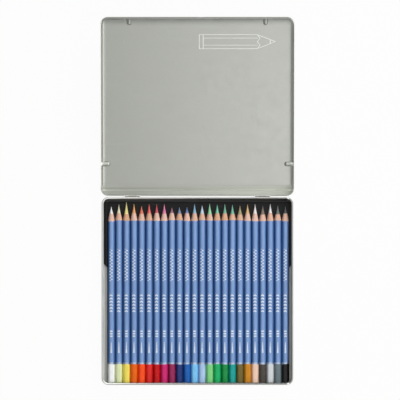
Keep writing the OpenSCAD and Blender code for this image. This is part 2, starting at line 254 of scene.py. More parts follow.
class PENCILTIN_PG_tin(bpy.types.PropertyGroup):
    """Finish of the pans, the hinge wire and the tray"""
    # The lid's tinplate is set darker than the base's: painted shade on what is one tinplate.
    lid_pan: colour_prop("Lid", "Reflection colour of the lid's tinplate", (0.46, 0.47, 0.435))
    base_pan: colour_prop("Base", "Reflection colour of the base's tinplate", (0.60, 0.61, 0.58))
    # Painted light and shade: the levels of the rim, the front rim, the lid's side rims, the hinge bend, the
    # lid's right wall and the motif's lines are painted highlights, and those of the right rim and the floor
    # are painted shade.
    rim: level_prop("Rim", "Level of the base's rim against its walls", 1.25)
    worn_rim: level_prop("Worn rim", "Level of the base's worn front rim", 1.6)
    lid_rim: level_prop("Lid rim", "Level of the lid's side rims against its panel", 1.9)
    bend: level_prop("Bend", "Level of the lid's matt hinge bend against its panel", 1.35)
    right_wall: level_prop("Right wall", "Level of the lid's right wall against its panel", 1.4)
    motif: level_prop("Motif", "Level of the motif's pressed lines against the panel", 1.6)
    right_rim: share_prop("Right rim", "Level of the base's tarnished right rim against the others", 0.5)
    floor: share_prop("Floor", "Level of the base's floor against its walls", 0.58)
    far_dish: length_prop("Far dish", "Width of the panel's soft curve at the far edge", 0.0135, 0.004, 0.02)
    far_slope: share_prop("Far slope", "Slope of that curve at the edge", 0.60)
    side_dish: length_prop("Side dish", "Width of the panel's soft curve at the sides", 0.0070, 0.004, 0.02)
    side_slope: share_prop("Side slope", "Slope of that curve at the edge", 0.21)
    roughness: share_prop("Roughness", "Roughness of the satin tinplate", 0.36)
    grain: share_prop("Rolling grain", "Strength of the fine lines left by rolling", 0.5)
    wire: colour_prop("Wire", "Reflection colour of the hinge wire", (0.50, 0.51, 0.50))
    tray: colour_prop("Tray", "Colour of the ribbed plastic tray", (0.006, 0.006, 0.007))


class PENCILTIN_PG_pencils(bpy.types.PropertyGroup):
    """Shape and colours of the pencils"""
    lacquer: colour_prop("Lacquer", "Colour of the barrels", (0.167, 0.305, 0.600))
    # Painted shade: the lacquer's colour in the grooves between the pencils.
    groove: colour_prop("Groove", "Colour of the lacquer between the pencils", (0.042, 0.122, 0.335))
    foil: colour_prop("Foil", "Reflection colour of the foil ornament", (0.74, 0.79, 0.84))
    ring_foil: colour_prop("Ring foil", "Reflection colour of the foil ring", (0.46, 0.54, 0.68))
    wood: colour_prop("Wood", "Colour of the sharpened wood", (0.72, 0.40, 0.24))
    wood_pink: colour_prop("Pink wood", "Colour that some of the pencils' wood tends to", (0.82, 0.55, 0.47))
    blunt: length_prop("Blunt end", "How far the dip stands past the wood", 0.0004, 0.0, 0.0008)
    dip: length_prop("Dip", "Length of the dipped end", 0.0182, 0.005, 0.04)
    ring: length_prop("Foil ring", "Width of the foil ring beside the dipped end", 0.0018, 0.0005, 0.004)
    dome: length_prop("Dome", "Length of the rounding at the dipped end", 0.0005, 0.0004, 0.002)
    corner: length_prop("Corner radius", "Rounding of the hexagon's corners", 0.00146, 0.0005, 0.002)
    wood_reach: length_prop("Wood", "Length of the sharpened wood over the facets", 0.0066, 0.003, 0.012)
    wood_end: length_prop("Wood end", "Radius at which the wood ends", 0.00187, 0.0012, 0.0025)
    tip: length_prop("Tip", "Radius of the point's tip", 0.00022, 0.0001, 0.001)
    chalk: share_prop("Chalk", "Share of pale filler in the pigment", 0.12)
    trim: length_prop("Trim", "Most that a pencil's wood stops short", 0.0016, 0.0, 0.003)
    seed: bpy.props.IntProperty(name="Seed", description="Seed of the small differences", default=7)


class PENCILTIN_PG_dips(bpy.types.PropertyGroup):
    """Lacquer of each pencil's dipped end"""
    __annotations__ = {
        name: colour_prop(name.replace("_", " ").capitalize(), "Lacquer of this pencil's dipped end", colour)
        for name, colour in DIPS.items()}


class PENCILTIN_PG_points(bpy.types.PropertyGroup):
    """Pigment of each pencil's point"""
    __annotations__ = {
        name: colour_prop(name.replace("_", " ").capitalize(), "Pigment of this pencil's point",
                          POINTS.get(name, SLOT_COLOUR["core_" + name]))
        for name in DIPS}


class PENCILTIN_PG_stage(bpy.types.PropertyGroup):
    """Camera, floor and lights"""
    lens: bpy.props.FloatProperty(name="Lens", description="Focal length of the camera",
                                  subtype="DISTANCE_CAMERA", unit="CAMERA", default=1350.0)
    look_at: bpy.props.FloatVectorProperty(name="Look at", description="Point in the picture's middle",
                                           subtype="XYZ", unit="LENGTH", size=3,
                                           default=(0.0026, 0.0910, 0.012))
    distance: length_prop("Distance", "Height of the camera above that point", 15.0, 1.0, 20.0)
    floor: length_prop("Floor", "Side of the pale floor", 8.0, 1.0, 20.0)
    front_right: power_prop("Front softbox", "Power of the near softbox at the front right", 6.1)
    rear: power_prop("Rear softbox", "Power of the softbox behind the hinge", 11.2)
    overhead: power_prop("Overhead softbox", "Power of the small softbox overhead", 2.4)
    rear_right: power_prop("Rear right softbox", "Power of the softbox behind the hinge at the right", 10.5)
    right: power_prop("Right softbox", "Power of the small softbox at the right", 2.5)
    ambient: share_prop("Ambient", "Level of the light from all round", 0.22)
    front_fill: share_prop("Front fill", "Level of the light added from the front", 0.25)


# ---------------------------------------------------------------- nodes


def feed(tree, value, socket):
    """Joins a socket to a node's output, or sets its value."""
    if isinstance(value, bpy.types.NodeSocket):
        tree.links.new(value, socket)
    else:
        socket.default_value = value


def add_node(tree, kind, inputs=None, **settings):
    """A node of a kind, with its settings and its inputs."""
    made = tree.nodes.new(kind)
    for key, value in settings.items():
        setattr(made, key, value)
    for key, value in (inputs or {}).items():
        feed(tree, value, made.inputs[key])
    return made


# ---------------------------------------------------------------- materials


class Finish:
    """A Principled material, with short calls for the nodes that give it detail."""

    def __init__(self, name, **sockets):
        self.material = bpy.data.materials.new(name)
        self.material.use_nodes = True
        self.tree = self.material.node_tree
        self.shader = self.tree.nodes["Principled BSDF"]
        for socket, value in sockets.items():
            value = (*value, 1.0) if isinstance(value, (tuple, list)) and len(value) == 3 else value
            self.shader.inputs[socket.replace("_", " ")].default_value = value
        self.at = self.node("ShaderNodeTexCoord").outputs["Object"]
        self.pattern_at = self.at

    def node(self, kind, inputs=None, **settings):
        return add_node(self.tree, kind, inputs, **settings)

    def math(self, operation, *values):
        return self.node("ShaderNodeMath", dict(enumerate(values)), operation=operation).outputs[0]

    def both(self, first, *others):
        """The product of two or more shares."""
        for other in others:
            first = self.math("MULTIPLY", first, other)
        return first

    def above(self, value, limit):
        return self.math("GREATER_THAN", value, limit)

    def below(self, value, limit):
        return self.math("LESS_THAN", value, limit)

    def between(self, value, low, high):
        return self.both(self.above(value, low), self.below(value, high))

    def own(self):
        """The number from 0 to 1 stored on a piece's mesh, by which like pieces differ."""
        return self.node("ShaderNodeAttribute", attribute_name="own").outputs["Fac"]

    def vary(self):
        """Moves the patterns by the piece's own number, by a different distance along each axis."""
        self.pattern_at = self.node("ShaderNodeVectorMath", {0: self.own(), 1: (3.1, 5.7, 4.3), 2: self.at},
                                    operation="MULTIPLY_ADD").outputs[0]
        return self

    def axes(self):
        return self.node("ShaderNodeSeparateXYZ", {0: self.at}).outputs

    def stretched(self, scale):
        """The position times a scale for each axis, in cells for each metre."""
        return self.node("ShaderNodeVectorMath", {0: self.pattern_at, 1: scale},
                         operation="MULTIPLY").outputs[0]

    def noise(self, scale, detail=2.0, roughness=0.5):
        """Smooth noise from 0 to 1; scale is in cells for each metre, one number or one for each axis."""
        at = self.stretched(scale) if isinstance(scale, tuple) else self.pattern_at
        return self.node("ShaderNodeTexNoise", {
            "Vector": at, "Scale": 1.0 if isinstance(scale, tuple) else scale,
            "Detail": detail, "Roughness": roughness}).outputs["Fac"]

    def span(self, value, low, high, to_low=0.0, to_high=1.0):
        """A number that goes from to_low to to_high while a value goes from low to high."""
        return self.node("ShaderNodeMapRange", {
            "Value": value, "From Min": low, "From Max": high,
            "To Min": to_low, "To Max": to_high}).outputs["Result"]

    def blend(self, share, first, second):
        """A colour between two others."""
        made = self.node("ShaderNodeMix", data_type="RGBA", clamp_factor=True)
        feed(self.tree, share, made.inputs[0])
        for value, socket in ((first, made.inputs[6]), (second, made.inputs[7])):
            feed(self.tree, (*value, 1.0) if isinstance(value, tuple) else value, socket)
        return made.outputs[2]

    def level(self, share, first, second):
        """A number between two others."""
        return self.node("ShaderNodeMix", {0: share, 2: first, 3: second}, clamp_factor=True).outputs[0]

    def bump(self, height, distance, under=None, strength=1.0):
        """The normal with a bump on it, over another bump where there is one."""
        inputs = {"Strength": strength, "Distance": distance, "Height": height}
        if under is not None:
            inputs["Normal"] = under
        return self.node("ShaderNodeBump", inputs).outputs["Normal"]

    def set(self, **sockets):
        """Feeds the shader, and gives its material."""
        for socket, value in sockets.items():
            feed(self.tree, value, self.shader.inputs[socket.replace("_", " ")])
        return self.material


def tinted(colour, factor):
    """A colour that is lighter or darker by a factor."""
    return tuple(min(1.0, c * factor) for c in colour)


def tinplate(look, colour, name, shape):
    """Satin tinplate: rolling grain along X, clouds, hairline scratches, and what its own pan's zones add:
    painted highlights and shade, and for the lid a matt bend and a bump.
    """
    made = Finish(name, Metallic=1.0)
    lines = made.noise((40.0, 2600.0, 2600.0), 3.0, 0.6)
    clouds = made.noise(110.0, 4.0, 0.6)
    broad = made.noise(22.0, 2.0)
    scratch = made.span(made.noise((260.0, 9.0, 260.0), 1.0), 0.70, 0.74)
    cross = made.span(made.noise((7.0, 210.0, 210.0), 1.0), 0.71, 0.75)
    marks = made.math("MAXIMUM", scratch, cross)
    tone = made.blend(made.span(clouds, 0.3, 0.7), tinted(colour, 0.95), tinted(colour, 1.04))
    tone = made.blend(made.span(broad, 0.3, 0.7), tone, tinted(colour, 0.98))
    tone = made.blend(made.both(marks, 0.35), tone, tinted(colour, 1.12))
    rough = made.math("ADD", made.span(clouds, 0.25, 0.75, look.roughness - 0.04, look.roughness + 0.05),
                      made.both(made.math("SUBTRACT", lines, 0.5), 0.10))
    rough = made.math("ADD", rough, made.both(marks, 0.08))
    normal = made.bump(lines, 0.000012, strength=look.grain)
    normal = made.bump(clouds, 0.00003, normal, 0.5)
    tone, rough, normal = shape(made, look, tone, rough, normal)
    return made.set(Base_Color=tone, Roughness=rough, Normal=normal)


def base_zones(made, look, tone, rough, normal):
    """The base's rolled rim carries painted highlights on its top and most along the front's inner side. The
    right rim carries painted shade that is lighter on its outer side, and the floor is painted in shade.
    """
    low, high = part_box("base_pan")
    across, along, up = made.axes()
    from_top = made.math("SUBTRACT", high.z, up)
    from_front = made.math("SUBTRACT", along, low.y)
    from_right = made.math("SUBTRACT", high.x, across)
    inner_front = made.both(made.span(from_front, *FRONT_INNER), made.span(from_front, *FRONT_OUTER))
    on_floor = made.both(made.below(up, FLOOR_TOP),
                         made.below(made.math("ABSOLUTE", across), high.x - FLOOR_EDGE))
    # Painted highlights on the rim's top and the front's inner side, and painted shade on the right rim and
    # the floor.
    zones = (
        (made.span(from_top, *RIM_TOP), look.rim),
        (inner_front, look.worn_rim),
        (made.span(from_right, *RIGHT_RIM), look.right_rim),
        (made.span(from_right, *RIGHT_OUTER), OUTER_LEVEL * look.right_rim),
        (on_floor, look.floor),
    )
    for share, level in zones:
        tone = made.blend(share, tone, tinted(look.base_pan, level))
    return tone, rough, normal


def pressed_lines(made, across, along, up):
    """1 on the floor of the motif's pressed lines, inside the open lid's sloping panel."""
    tilt = math.radians(180 - LID_OPEN)
    height = made.math("SUBTRACT", made.both(up, math.cos(tilt)), made.both(along, math.sin(tilt)))
    on_floor = made.below(made.math("ABSOLUTE", made.math("ADD", height, MOTIF_DEPTH)), MOTIF_SLACK)
    in_panel = made.below(made.math("ABSOLUTE", across), PANEL_HALF)
    return made.both(on_floor, in_panel, made.above(along, MOTIF_START))


def lid_dish(made, look, tone, rough, normal):
    """The lid's panel is bumped as if it curved up softly to its edges. Its right wall, the motif's pressed
    lines, its side rims and its matt hinge bend carry painted highlights, lightest at the bend's foot and at
    the right.
    """
    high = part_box("lid_pan")[1]
    across, along, up = made.axes()
    to_side = made.math("SUBTRACT", high.x, made.math("ABSOLUTE", across))
    to_far = made.math("SUBTRACT", high.y, along)

    def curve(distance, width, slope):
        rise = made.math("POWER", made.span(distance, 0.0, width, 1.0, 0.0), 3.0)
        return made.both(rise, width * slope / 3)

    def matt(levels):
        at_left, at_right = (tinted(look.lid_pan, level * look.bend) for level in levels)
        return made.blend(made.span(across, *MATT_ENDS), at_left, at_right)

    right_wall = made.both(made.span(to_side, *WALL_FOOT), made.above(across, 0.0))
    bend = made.both(made.span(along, *MATT_START), made.above(along, HINGE_END))
    foot = made.both(made.span(along, *FOOT_FAR), made.span(along, *FOOT_NEAR))
    # Painted highlights on the right wall, the motif's lines, the side rims and the hinge bend with its foot.
    zones = (
        (right_wall, tinted(look.lid_pan, look.right_wall)),
        (pressed_lines(made, across, along, up), tinted(look.lid_pan, look.motif)),
        (made.below(to_side, SIDE_RIM), tinted(look.lid_pan, look.lid_rim)),
        (bend, made.blend(made.span(along, *PANEL_END), matt(MATT_BEND), matt(MATT_PANEL))),
        (foot, matt(MATT_FOOT)),
    )
    for share, colour in zones:
        tone = made.blend(share, tone, colour)
    height = made.math("ADD", curve(to_side, look.side_dish, look.side_slope),
                       curve(to_far, look.far_dish, look.far_slope))
    return tone, made.level(bend, rough, MATT_ROUGHNESS), made.bump(height, 1.0, normal)


PANS = {"base_pan": base_zones, "lid_pan": lid_dish}


def wire_steel(look):
    """Drawn steel wire with faint lines along it."""
    made = Finish("hinge_wire", Metallic=1.0)
    lines = made.noise((300.0, 5200.0, 5200.0), 2.0)
    clouds = made.noise(900.0, 2.0)
    return made.set(
        Base_Color=made.blend(clouds, tinted(look.wire, 0.85), tinted(look.wire, 1.08)),
        Roughness=made.span(lines, 0.3, 0.7, 0.26, 0.42),
        Normal=made.bump(lines, 0.00001, strength=0.5))


def tray_plastic(look):
    """Moulded black plastic with a fine spark texture and slight scuffs. At the hinge side its border's foot
    is painted in shade and the border carries a painted highlight.
    """
    made = Finish("tray_plastic", Specular_IOR_Level=0.25)
    spark = made.noise(2600.0, 3.0, 0.65)
    broad = made.noise(90.0, 3.0, 0.6)
    scuff = made.span(made.noise((60.0, 900.0, 200.0), 2.0), 0.66, 0.74)
    _, along, up = made.axes()
    to_hinge = made.math("SUBTRACT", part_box(TRAY)[1].y, along)
    on_head = made.above(up, TRAY_HEAD)
    tone = made.blend(made.span(broad, 0.3, 0.7), tinted(look.tray, 0.85), tinted(look.tray, 1.5))
    tone = made.blend(made.both(scuff, 0.3), tone, (0.05, 0.05, 0.05))
    # Painted shade at the foot of the head's border, and a painted highlight on the border.
    tone = made.blend(made.both(made.span(to_hinge, *TRAY_FOOT), on_head), tone, tinted(look.tray, 0.2))
    tone = made.blend(made.both(made.span(to_hinge, *TRAY_BORDER), on_head), tone, (0.045, 0.046, 0.043))
    return made.set(
        Base_Color=tone,
        Roughness=made.span(broad, 0.3, 0.7, 0.38, 0.52),
        Normal=made.bump(spark, 0.00003, strength=0.5))


def ornament(made):
    """Foil ornament on the top facet: staggered dashes, chevrons, three bars and a thin wedge."""
    across, along, up = made.axes()
    x, y = (made.math("MULTIPLY", place, 1000.0) for place in (across, along))

    def from_line(shift):
        """Distance across the barrel from its shifted middle line."""
        return made.math("ABSOLUTE", made.math("ADD", x, shift))

    def cell(pitch):
        """Number of the mark along the barrel, and the place in it from -0.5 to 0.5."""
        turn = made.math("DIVIDE", y, pitch)
        return made.math("FLOOR", turn), made.math("SUBTRACT", made.math("FRACT", turn), 0.5)

    row, place = cell(DASH_PITCH)
    shift = made.level(made.math("PINGPONG", row, 1.0), *DASH_SHIFTS)
    dashes = made.both(made.between(place, *DASH_SPAN), made.below(from_line(shift), DASH_REACH),
                       made.between(y, *DASHES))
    place = cell(CHEVRON_PITCH)[1]
    width = from_line(CHEVRON_SHIFT)
    arrow = made.math("ADD", place, made.math("MULTIPLY", width, CHEVRON_LEAN))
    chevrons = made.both(made.between(arrow, *CHEVRON_SPAN), made.below(width, CHEVRON_REACH),
                         made.between(y, *CHEVRONS))
    place = cell(BAR_PITCH)[1]
    bars = made.both(made.between(place, *BAR_SPAN), made.below(from_line(0.0), BAR_REACH),
                     made.between(y, *BARS))
    reach = made.span(y, *WEDGE, *WEDGE_REACH)
    wedge = made.both(made.below(from_line(0.0), reach), made.between(y, *WEDGE))
    shown = made.math("MAXIMUM", made.math("MAXIMUM", dashes, chevrons), made.math("MAXIMUM", bars, wedge))
    worn = made.span(made.noise(1500.0, 2.0), 0.30, 0.42)
    return made.both(shown, made.above(up, TOP_FACET), worn)


def lacquer(look):
    """Glossy barrel lacquer with slight ripples, fine scuffs and the foil ornament, and painted shade towards
    the grooves between the pencils.
    """
    made = Finish("pencil_lacquer", Specular_IOR_Level=1.0).vary()
    ripple = made.noise((420.0, 60.0, 420.0), 2.0)
    scuff = made.span(made.noise((900.0, 70.0, 900.0), 3.0, 0.6), 0.62, 0.74)
    foil = ornament(made)
    # Painted shade: away from a line a little right of the middle, the lacquer darkens to the colour set for
    # the grooves and its specular weakens.
    aside = made.math("ABSOLUTE", made.math("SUBTRACT", made.axes()[0], LIGHT_LINE))
    shaded = made.span(aside, *DEEPENING)
    tone = made.blend(made.span(ripple, 0.3, 0.7), tinted(look.lacquer, 0.93), tinted(look.lacquer, 1.06))
    tone = made.blend(shaded, tone, tuple(look.groove))
    tone = made.blend(made.both(scuff, 0.20), tone, tinted(look.lacquer, 1.7))
    return made.set(
        Base_Color=made.blend(foil, tone, tuple(look.foil)),
        Metallic=made.both(foil, 0.35),
        Specular_IOR_Level=made.level(shaded, 1.0, 0.5),
        Roughness=made.math("ADD", made.level(foil, 0.38, 0.36), made.both(scuff, 0.15)),
        Normal=made.bump(ripple, 0.00004, strength=0.5))


def dip_lacquer(name, colour):
    """Thick glossy lacquer of a dipped end, with soft sags and a few rubbed spots."""
    made = Finish("dip_" + name, Specular_IOR_Level=0.2).vary()
    sag = made.noise((350.0, 120.0, 350.0), 2.0)
    rub = made.span(made.noise(650.0, 3.0, 0.6), 0.66, 0.76)
    tone = made.blend(made.span(sag, 0.3, 0.7), tinted(colour, 0.94), tinted(colour, 1.05))
    tone = made.blend(made.both(rub, 0.12), tone, (0.6, 0.58, 0.55))
    return made.set(
        Base_Color=tone,
        Roughness=made.math("ADD", made.span(sag, 0.3, 0.7, 0.22, 0.30), made.both(rub, 0.15)),
        Normal=made.bump(sag, 0.00006, strength=0.5))


def foil_ring(look):
    """Hot-stamped foil round the barrel, with small breaks and wrinkles."""
    made = Finish("foil_ring", Metallic=1.0).vary()
    wrinkle = made.noise((1800.0, 700.0, 1800.0), 2.0)
    worn = made.span(made.noise(1500.0, 2.0), 0.26, 0.36)
    return made.set(
        Base_Color=made.blend(worn, tinted(look.ring_foil, 0.55), tuple(look.ring_foil)),
        Roughness=made.span(wrinkle, 0.3, 0.7, 0.25, 0.42),
        Normal=made.bump(wrinkle, 0.00003, strength=0.5))


def cedar(look):
    """Sharpened wood: grain along the pencil, the facets of the cut and a few dark pores."""
    made = Finish("pencil_wood", Specular_IOR_Level=0.3).vary()
    grain = made.noise((2400.0, 130.0, 2400.0), 4.0, 0.6)
    broad = made.noise(160.0, 2.0)
    pores = made.span(made.noise((5200.0, 420.0, 5200.0), 1.0), 0.68, 0.78)
    tone = made.blend(made.span(grain, 0.3, 0.7), tinted(look.wood, 0.74), tinted(look.wood, 1.16))
    tone = made.blend(made.both(broad, 0.5), tone, tinted(look.wood, 1.10))
    tone = made.blend(made.both(pores, 0.5), tone, tinted(look.wood, 0.45))
    pinker = made.both(made.math("FRACT", made.both(made.own(), 7.3)), 0.85)
    tone = made.blend(pinker, tone, tuple(look.wood_pink))
    return made.set(
        Base_Color=tone,
        Roughness=made.span(grain, 0.3, 0.7, 0.55, 0.75),
        Normal=made.bump(grain, 0.00006, strength=0.7))


def pigment(look, name, colour):
    """Waxy coloured core with fine rings from the sharpener and crumbly spots."""
    made = Finish("pigment_" + name, Specular_IOR_Level=0.3).vary()
    rings = made.noise((120.0, 4200.0, 120.0), 1.0)
    crumb = made.noise(2300.0, 3.0, 0.6)
    filler = (0.52, 0.56, 0.60)
    colour = tuple(c + (pale - c) * look.chalk for c, pale in zip(colour, filler))
    tone = made.blend(made.span(crumb, 0.3, 0.7), tinted(colour, 0.85), tinted(colour, 1.1))
    return made.set(
        Base_Color=tone,
        Roughness=made.span(crumb, 0.3, 0.7, 0.42, 0.62),
        Normal=made.bump(crumb, 0.00005, made.bump(rings, 0.00004, strength=0.6), 0.5))


# ---------------------------------------------------------------- geometry


def node_group(name, steps):
    """Geometry node group that passes its geometry through (kind, geometry input, inputs, settings)."""
    group = bpy.data.node_groups.new(name, "GeometryNodeTree")
    for way in ("INPUT", "OUTPUT"):
        group.interface.new_socket("Geometry", in_out=way, socket_type="NodeSocketGeometry")
    last = group.nodes.new("NodeGroupInput").outputs[0]
    for kind, entry, inputs, settings in steps(group):
        last = add_node(group, kind, {**inputs, entry: last}, **settings).outputs[0]
    group.links.new(last, group.nodes.new("NodeGroupOutput").inputs[0])
    return group


def joined_faces(group):
    """Joins the points of neighbouring faces and drops the stored normals."""
    yield "GeometryNodeMergeByDistance", "Geometry", {"Distance": WELD}, {}
    yield "GeometryNodeSetMeshNormal", "Mesh", {"Remove Custom": True}, {}
    yield "GeometryNodeSetShadeSmooth", "Geometry", {"Shade Smooth": True}, {}


def kept_edges(group):
    """Keeps the bent edges sharp."""
    bend = add_node(group, "GeometryNodeInputMeshEdgeAngle").outputs["Unsigned Angle"]
    sharp = add_node(group, "ShaderNodeMath", {0: bend, 1: math.radians(PAN_EDGE)}, operation="GREATER_THAN")
    yield ("GeometryNodeSetShadeSmooth", "Geometry",
           {"Selection": sharp.outputs[0], "Shade Smooth": False}, {"domain": "EDGE"})


def even_shading(node):
    """Modifiers that shade a CAD node's bends as round and its panels as flat."""
    node.modifiers.new("joined_faces", "NODES").node_group = node_group("joined_faces", joined_faces)
    plain = node.modifiers.new("plain_panels", "DECIMATE")
    plain.decimate_type = "DISSOLVE"
    plain.angle_limit = math.radians(FLAT_ANGLE)
    node.modifiers.new("kept_edges", "NODES").node_group = node_group("kept_edges", kept_edges)
    weighted = node.modifiers.new("weighted_normals", "WEIGHTED_NORMAL")
    weighted.keep_sharp = True
    weighted.weight = 100


def dress(name, material):
    """Gives a CAD node its material."""
    node = NODES[name]
    node.data.materials.clear()
    node.data.materials.append(material)
    return node


def hexagon(flats, corner, steps=5):
    """Angle and radius of each point of a round-cornered hexagon with a flat top, counter-clockwise."""
    centre = (flats / 2 - corner) / math.cos(math.radians(30))
    points = []
    for side in range(6):
        middle = math.radians(60 * side)
        for step in range(steps + 1):
            turn = middle + math.radians(-30 + 60 * step / steps)
            x = centre * math.cos(middle) + corner * math.cos(turn)
            z = centre * math.sin(middle) + corner * math.sin(turn)
            points.append((math.atan2(z, x), math.hypot(x, z)))
    return points


def ring(shape, y, radii, turns):
    """A closed row of points round the Y axis; y may be one number or one for each point."""
    heights = y if isinstance(y, list) else [y] * len(turns)
    return [shape.verts.new((r * math.cos(a), h, r * math.sin(a)))
            for a, r, h in zip(turns, radii, heights)]


def steps_round(row):
    """The place of each point of a closed row, with that of the next one."""
    return [(i, (i + 1) % len(row)) for i in range(len(row))]


def join_rings(shape, first, second, slot):
    """Faces from one row of points to the next, further along +Y."""
    for i, j in steps_round(first):
        shape.faces.new((first[i], first[j], second[j], second[i])).material_index = slot


def cap(shape, row, y, slot, towards_minus):
    """Closes a row of points with a fan round a middle point."""
    tip = shape.verts.new((0.0, y, 0.0))
    for i, j in steps_round(row):
        corners = (row[j], row[i], tip) if towards_minus else (row[i], row[j], tip)
        shape.faces.new(corners).material_index = slot


def finish_mesh(shape, name, place, materials, own, sharp_angle):
    """An object of a finished bmesh at its place, with smooth shading, its materials and its own number."""
    shape.normal_update()
    limit = math.radians(sharp_angle)
    for face in shape.faces:
        face.smooth = True
    for edge in shape.edges:
        edge.smooth = len(edge.link_faces) != 2 or edge.calc_face_angle(0.0) < limit
    mesh = bpy.data.meshes.new(name)
    shape.to_mesh(mesh)
    shape.free()
    for material in materials:
        mesh.materials.append(material)
    mesh.attributes.new("own", "FLOAT", "POINT").data.foreach_set("value", [own] * len(mesh.vertices))
    made = bpy.data.objects.new(name, mesh)
    made.location = place
    bpy.context.scene.collection.objects.link(made)
    return made


def body_of(node_name):
    """The body that a CAD node rides."""
    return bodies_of(NODES[node_name])[0]


def casing_frame(name):
    """Middle of the blunt end, length and width across the flats of a pencil's casing."""
    low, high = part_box(name)
    return Vector(((low.x + high.x) / 2, low.y, (low.z + high.z) / 2)), high.y - low.y, high.z - low.z


def cone_slope(flats, look):
    """How much the sharpened wood's radius shrinks for each metre along the pencil."""
    return (flats / 2 - look.wood_end) / look.wood_reach


def build_casing(name, look, trim, materials, rng):
    """A pencil's casing: domed dipped end, foil ring, lacquered barrel and scalloped wood cone."""
    barrel_slot, dip_slot, ring_slot, wood_slot = range(4)
    place, length, flats = casing_frame(name)
    points = hexagon(flats, look.corner)
    turns = [a for a, _ in points]
    full = [r for _, r in points]
    barrel = [r - DIP_STEP for r in full]
    slope = cone_slope(flats, look)
    shape = bmesh.new()
    rows = []

    def row(y, radii, slot):
        rows.append((ring(shape, y, radii, turns), slot))

    for inset, share in DOME:
        row(look.dome * share - look.blunt, [r * (1 - inset) for r in full], dip_slot)
    sag = rng.uniform(0.0, 2 * math.pi)
    brim = [look.dip + BRIM_WAVE * math.sin(a - sag) for a in turns]
    row([y - BRIM_FALL for y in brim], full, dip_slot)
    row(brim, barrel, dip_slot)
    row(look.dip + look.ring, barrel, ring_slot)
    row(look.dip + look.ring + RING_FALL, barrel, barrel_slot)
    row(length * 0.5, barrel, barrel_slot)
    deeper = rng.uniform(*SCALLOP_SHIFT)
    edge = [length - (r - look.wood_end) / slope - deeper + rng.uniform(-1, 1) * SCALLOP_JITTER
            for r in barrel]
    row(edge, barrel, barrel_slot)
    end, end_radius = length - trim, look.wood_end + slope * trim
    ragged = [rng.uniform(0.0, WOOD_RAGGED) for _ in turns]
    for share in CONE_ROWS:
        radii = [r + (end_radius - r) * share for r in barrel]
        row([y + (end - cut - y) * share for y, cut in zip(edge, ragged)], radii, wood_slot)
    cap(shape, rows[0][0], -look.blunt, dip_slot, True)
    for (first, _), (second, slot) in zip(rows, rows[1:]):
        join_rings(shape, first, second, slot)
    cap(shape, rows[-1][0], end, wood_slot, False)
    made = finish_mesh(shape, name.replace("_casing", "_barrel"), place, materials, rng.random(), CASING_EDGE)
    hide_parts(name)
    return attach(made, body_of(name))


def build_core(name, casing, look, trim, material, rng):
    """A pencil's bare core: a slim cone with fine sharpening steps and a small rounded tip."""
    place, length, flats = casing_frame(casing)
    low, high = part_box(name)
    reach = high.y - place.y
    start = length - trim
    start_radius = (high.x - low.x) / 2 + cone_slope(flats, look) * trim
    round_len = TIP_LENGTH * look.tip
    bare = reach - start - round_len
    shape = bmesh.new()
    turns = [2 * math.pi * i / CORE_SIDES for i in range(CORE_SIDES)]
    rows = [ring(shape, start - back, [start_radius] * CORE_SIDES, turns) for back in CORE_HIDDEN]
    for step in range(1, CORE_CUTS + 1):
        share = step / CORE_CUTS
        radius = look.tip + (start_radius - look.tip) * (1 - share) ** CORE_CURVE
        radius *= 1 + rng.uniform(-CORE_UNEVEN, CORE_UNEVEN)
        rows.append(ring(shape, start + bare * share, [radius] * CORE_SIDES, turns))
    lean = rng.uniform(0, 2 * math.pi)
    for share in TIP_ROWS:
        radius = look.tip * math.sqrt(1 - share ** 2)
        radii = [radius * (1 + TIP_LEAN * math.cos(a - lean)) for a in turns]
        rows.append(ring(shape, reach - round_len * (1 - share), radii, turns))
    cap(shape, rows[0], start - CORE_HIDDEN[0], 0, True)
    for first, second in zip(rows, rows[1:]):
        join_rings(shape, first, second, 0)
    cap(shape, rows[-1], reach, 0, False)
    made = finish_mesh(shape, name.replace("_core", "_point"), place, [material], rng.random(), CORE_EDGE)
    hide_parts(name)
    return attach(made, body_of(name))


def trims(look):
    """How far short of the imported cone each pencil's wood stops."""
    rng = random.Random(look.seed)
    return [rng.uniform(0.0, look.trim) for _ in CASINGS]


# ---------------------------------------------------------------- operators


